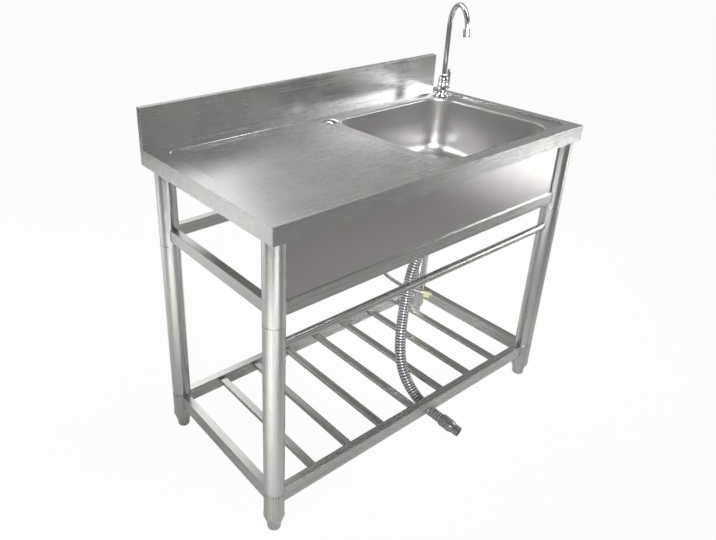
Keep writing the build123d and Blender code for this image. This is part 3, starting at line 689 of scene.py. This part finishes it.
def tube_mesh(
    name: str,
    samples: Sequence[Tuple[Vector, Vector]],
    radii: Sequence[float],
    sides: int,
    weave: Tuple[float, float],
) -> bpy.types.Mesh:
    """A closed tube, rolled up from a grid and laid along the samples.

    Args:
        name: the mesh's name.
        samples: the place and heading of each ring.
        radii: each ring's radius.
        sides: the corners of a ring.
        weave: the turns round and per metre of its UV map, which is named weave.

    Returns:
        The mesh.
    """
    side = Vector((1.0, 0.0, 0.0))
    rings = []
    gone = 0.0
    for index, ((place, heading), radius) in enumerate(zip(samples, radii)):
        side = (side - heading * side.dot(heading)).normalized()
        gone += (place - samples[max(index - 1, 0)][0]).length
        rings.append((place, side * radius, heading.cross(side) * radius, gone))
    last = len(rings) - 1
    shape = bmesh.new()
    layer = shape.loops.layers.uv.new("weave")
    bmesh.ops.create_grid(shape, x_segments=sides, y_segments=last, size=1.0)
    turns, per_metre = weave
    for face in shape.faces:
        for loop in face.loops:
            spot = loop.vert.co
            along = rings[round((spot.y + 1) / 2 * last)][3]
            loop[layer].uv = ((spot.x + 1) / 2 * turns, along * per_metre)
    for vertex in shape.verts:
        place, across, up, _ = rings[round((vertex.co.y + 1) / 2 * last)]
        angle = (vertex.co.x + 1) * math.pi
        vertex.co = place + across * math.cos(angle) + up * math.sin(angle)
    bmesh.ops.remove_doubles(shape, verts=shape.verts, dist=MERGE)
    bmesh.ops.holes_fill(shape, edges=shape.edges, sides=sides)
    bmesh.ops.recalc_face_normals(shape, faces=shape.faces)
    mesh = bpy.data.meshes.new(name)
    shape.to_mesh(mesh)
    shape.free()
    smooth(mesh, degrees=50.0)
    return mesh


@dataclass
class DrainHose:
    """The ribbed drain hose. Plain is how much of each end has no ribs, and profile is one rib."""

    crest: float = 0.016
    valley: float = 0.0141
    pitch: float = 0.0079
    plain: float = 0.033
    sides: int = 40
    profile: Tuple[float, ...] = (0.0, 0.10, 0.62, 0.95, 1.0, 0.95, 0.62, 0.10)
    route: Route = field(
        default_factory=lambda: Route(
            "drain_hose",
            [
                (0.2265, -0.024, 0.538),
                (0.2265, -0.024, 0.486),
                (0.205, -0.022, 0.434),
                (0.180, -0.019, 0.387),
                (0.163, -0.023, 0.338),
                (0.146, -0.031, 0.290),
                (0.124, -0.045, 0.241),
                (0.101, -0.063, 0.197),
                (0.082, -0.085, 0.152),
                (0.074, -0.111, 0.109),
                (0.079, -0.141, 0.067),
                (0.088, -0.187, 0.034),
                (0.096, -0.244, 0.024),
            ],
        )
    )

    def build(self, plastic: bpy.types.Material) -> None:
        """Builds the ribbed tube in place of its CAD solid."""
        step = self.pitch / len(self.profile)
        samples = self.route.samples(step)
        total = sum((b[0] - a[0]).length for a, b in zip(samples, samples[1:]))
        radii = []
        gone = 0.0
        for index in range(len(samples)):
            if index:
                gone += (samples[index][0] - samples[index - 1][0]).length
            ribbed = self.plain < gone < total - self.plain
            rise = self.profile[index % len(self.profile)] if ribbed else 0.0
            radii.append(self.valley + (self.crest - self.valley) * rise)
        ribs_per_metre = (len(samples) - 1) / len(self.profile) / total
        mesh = tube_mesh("drain_hose_ribbed", samples, radii, self.sides, (1.0, ribs_per_metre))
        piece = finished(mesh, "drain_hose_ribbed", "frame", plastic)
        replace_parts(piece, "drain_hose")
        log.info("drain hose: %d rings, %.3f m", len(samples), total)


@dataclass
class SupplyHose:
    """The braided supply hose between the tap's shank and its tail nut."""

    radius: float = 0.0055
    pitch: float = 0.002
    sides: int = 24
    weave: Tuple[float, float] = (12.0, 350.0)
    route: Route = field(
        default_factory=lambda: Route(
            "supply_hose",
            [
                (0.446, 0.163, 0.715),
                (0.446, 0.163, 0.655),
                (0.425, 0.161, 0.598),
                (0.375, 0.157, 0.560),
                (0.310, 0.152, 0.522),
                (0.250, 0.147, 0.470),
                (0.210, 0.143, 0.405),
                (0.198, 0.143, 0.335),
                (0.222, 0.140, 0.275),
                (0.266, 0.112, 0.231),
                (0.300, 0.087, 0.209),
                (0.327, 0.064, 0.200),
            ],
        )
    )

    def build(self, braid: bpy.types.Material) -> None:
        """Builds the woven tube in place of its CAD solid."""
        samples = self.route.samples(self.pitch)
        radii = [self.radius] * len(samples)
        mesh = tube_mesh("supply_hose_braided", samples, radii, self.sides, self.weave)
        piece = finished(mesh, "supply_hose_braided", "frame", braid)
        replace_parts(piece, "supply_hose")


@dataclass
class TapBody:
    """The cast and turned body of the tap, with its ball, neck and side hub."""

    axis: Tuple[float, float] = (0.446, 0.163)
    hub_height: float = 0.824
    hub_radius: float = 0.0100
    hub_reach: float = 0.019
    hub_edge: float = 0.0008
    hub_sides: int = 48
    sides: int = 64
    profile: Tuple[Tuple[float, float], ...] = (
        (0.0, 0.7450),
        (0.0094, 0.7450),
        (0.0100, 0.7456),
        (0.0100, 0.8025),
        (0.0136, 0.8025),
        (0.0133, 0.8038),
        (0.0124, 0.8054),
        (0.0121, 0.8082),
        (0.0127, 0.8108),
        (0.0143, 0.8122),
        (0.0146, 0.8132),
        (0.0143, 0.8142),
        (0.0149, 0.8156),
        (0.0157, 0.8190),
        (0.0160, 0.8235),
        (0.0157, 0.8282),
        (0.0149, 0.8322),
        (0.0139, 0.8350),
        (0.0131, 0.8366),
        (0.0131, 0.8380),
        (0.0138, 0.8390),
        (0.0145, 0.8402),
        (0.0146, 0.8422),
        (0.0142, 0.8429),
        (0.0, 0.8429),
    )

    def build(self, plating: bpy.types.Material) -> None:
        """Spins the body's outline round its axis and adds the hub that carries the lever."""
        x, y = self.axis
        shape = bmesh.new()
        outline = [shape.verts.new((x + radius, y, height)) for radius, height in self.profile]
        edges = [shape.edges.new(pair) for pair in zip(outline, outline[1:])]
        bmesh.ops.spin(
            shape,
            geom=outline + edges,
            cent=(x, y, 0.0),
            axis=(0.0, 0.0, 1.0),
            angle=TURN,
            steps=self.sides,
            use_merge=True,
        )
        bmesh.ops.remove_doubles(shape, verts=shape.verts, dist=MERGE)
        hub_middle = Vector((x + self.hub_reach / 2, y, self.hub_height))
        hub = bmesh.ops.create_cone(
            shape,
            cap_ends=True,
            segments=self.hub_sides,
            radius1=self.hub_radius,
            radius2=self.hub_radius,
            depth=self.hub_reach,
            matrix=Matrix.Translation(hub_middle) @ Matrix.Rotation(math.pi / 2, 4, "Y"),
        )
        of_hub = [e for e in shape.edges if all(v in hub["verts"] for v in e.verts)]
        bmesh.ops.bevel(
            shape,
            geom=[e for e in of_hub if e.calc_face_angle(0.0) > SHARP],
            offset=self.hub_edge,
            segments=2,
            profile=0.5,
            affect="EDGES",
            clamp_overlap=True,
            material=-1,
        )
        bmesh.ops.recalc_face_normals(shape, faces=shape.faces)
        mesh = bpy.data.meshes.new("tap_body_turned")
        shape.to_mesh(mesh)
        shape.free()
        smooth(mesh, degrees=38.0)
        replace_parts(finished(mesh, "tap_body_turned", "frame", plating), "tap_body")


@dataclass
class SinkUnit:
    """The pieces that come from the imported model: the finish and the eased edges of each."""

    sheet: Colour = (0.58, 0.575, 0.56)
    bowl: Colour = (0.50, 0.495, 0.485)
    panel: Colour = (0.60, 0.585, 0.565)
    tube: Colour = (0.66, 0.66, 0.63)
    rail_x: Colour = (0.60, 0.60, 0.575)
    # painted shade: the deep rails and slats are a darker copy of the same tube steel
    rail_y_shaded: Colour = (0.56, 0.56, 0.535)
    foot: Colour = (0.58, 0.58, 0.55)
    sheet_edge: float = 0.0005
    tube_edge: float = 0.0011
    nut_edge: float = 0.0009
    lever_edge: float = 0.0007

    def finishes(self) -> Dict[str, bpy.types.Material]:
        """Makes one material for each way that a piece is made or polished."""
        looks = {
            "sheet": BrushedSteel(
                "worktop_steel",
                self.sheet,
                Grain.ALONG_X,
                roughness=0.23,
                streaks=0.06,
                depth=0.000002,
                cloud=5.0,
                bands=0.14,
                contrast=0.07,
            ),
            "bowl": BrushedSteel("bowl_steel", self.bowl, Grain.ALONG_X, roughness=0.32, cloud=6.0),
            "panel": BrushedSteel("panel_steel", self.panel, Grain.ALONG_X, roughness=0.14),
            # the leg's strong vertical bands are partly polishing bands and partly painted reflection
            # streaks
            "leg": BrushedSteel(
                "leg_steel", self.tube, Grain.ALONG_Z, roughness=0.15, bands=0.6, contrast=0.20
            ),
            "rail_x": BrushedSteel(
                "rail_steel_across", self.rail_x, Grain.ALONG_X, roughness=0.20, bands=0.5, contrast=0.22
            ),
            # painted shade: a darker copy of the tube steel for the deep rails and slats
            "rail_y_shaded": BrushedSteel(
                "rail_steel_deep", self.rail_y_shaded, Grain.ALONG_Y, roughness=0.22, bands=0.5, contrast=0.22
            ),
            # the foot's strong vertical bands are partly polishing bands and partly painted reflection
            # streaks
            "foot": BrushedSteel(
                "foot_steel", self.foot, Grain.ALONG_Z, roughness=0.18, bands=0.6, contrast=0.25
            ),
            "chrome": Chrome("tap_chrome"),
            "screw": PlainMetal("screw_steel", (0.16, 0.16, 0.16), (0.08, 0.08, 0.08), roughness=0.35),
            "strainer": BrushedSteel("strainer_steel", (0.62, 0.62, 0.61), Grain.ALONG_X, roughness=0.16),
            "zinc": PlainMetal("zinc_plate", (0.52, 0.52, 0.50), (0.36, 0.36, 0.35)),
            "brass": PlainMetal("plain_brass", (0.74, 0.73, 0.56), (0.40, 0.38, 0.25)),
            "rubber": Moulded("black_rubber", (0.03, 0.03, 0.03), roughness=0.65),
            "drain": Moulded("drain_plastic", (0.09, 0.09, 0.10), roughness=0.45),
            # the second colour is painted shade for the hose's grooves
            "hose": RibbedPlastic("grey_hose_plastic", (0.40, 0.41, 0.43), (0.07, 0.072, 0.075)),
            "cuff": Moulded("cuff_plastic", (0.24, 0.24, 0.245), roughness=0.10, coat=0.7, pigment=0.6),
            "braid": WireBraid("wire_braid", (0.62, 0.62, 0.61), (0.12, 0.12, 0.12)),
        }
        return {name: look.make() for name, look in looks.items()}

    def finish_of(self, node: str) -> str:
        """The name of the finish of a CAD node."""
        named = {
            "worktop": "sheet",
            "bowl": "bowl",
            "front_panel": "panel",
            "drainboard_stiffener": "rail_x",
            "front_tie_bar": "rail_x",
            "leg_stubs": "leg",
            "leg_joint_spigots": "leg",
            "spout_set_screw": "screw",
            "tap_washer": "zinc",
            "strainer_body": "strainer",
            "strainer_basket": "strainer",
            "tap_seal": "rubber",
            "strainer_gasket": "rubber",
            "basket_plug_seal": "rubber",
            "tap_cartridge": "brass",
            "tap_lock_nut": "brass",
            "hole_cap_nut": "brass",
            "supply_top_nut": "brass",
            "supply_tail_nut": "brass",
            "strainer_lock_nut": "drain",
            "drain_union_nut": "drain",
            "drain_tailpiece": "drain",
            "hose_cuff": "cuff",
            "drain_hose": "hose",
            "supply_hose": "braid",
        }
        if node in named:
            return named[node]
        if node.startswith("lower_leg"):
            return "leg"
        if node.startswith(("foot_sleeve", "screw_foot")):
            return "foot"
        if node.startswith("shelf_slat") or node.endswith(("rail_left", "rail_right")):
            return "rail_y_shaded"
        if "rail_" in node:
            return "rail_x"
        return "chrome"

    def eased_edge(self, node: str) -> float:
        """How wide the eased edge of a node is, in metres, or 0 where the CAD solid shows."""
        if node in ("worktop", "bowl", "front_panel"):
            return self.sheet_edge
        if node.startswith(("mid_rail", "shelf_rail", "shelf_slat")):
            return self.tube_edge
        if node in ("supply_tail_nut", "supply_top_nut", "tap_lock_nut", "hole_cap_nut"):
            return self.nut_edge
        if node == "tap_lever":
            return self.lever_edge
        return 0.0

    def dress(self, finishes: Dict[str, bpy.types.Material]) -> None:
        """Gives every CAD node its finish, and eases the edges of the folded and drawn ones."""
        for node, piece in frame["nodes"].items():
            finish = finishes[self.finish_of(node)]
            piece.data.materials.clear()
            piece.data.materials.append(finish)
            edge = self.eased_edge(node)
            if edge:
                softened(node, edge, finish, body_of(piece)[0])
        log.info("dressed %d nodes", len(frame["nodes"]))


def main() -> None:
    """Builds the studio and the object."""
    Studio().build()
    unit = SinkUnit()
    finishes = unit.finishes()
    unit.dress(finishes)
    DrainHose().build(finishes["hose"])
    SupplyHose().build(finishes["braid"])
    TapBody().build(finishes["chrome"])


if __name__ == "__main__":
    logging.basicConfig(level=logging.INFO)
    main()
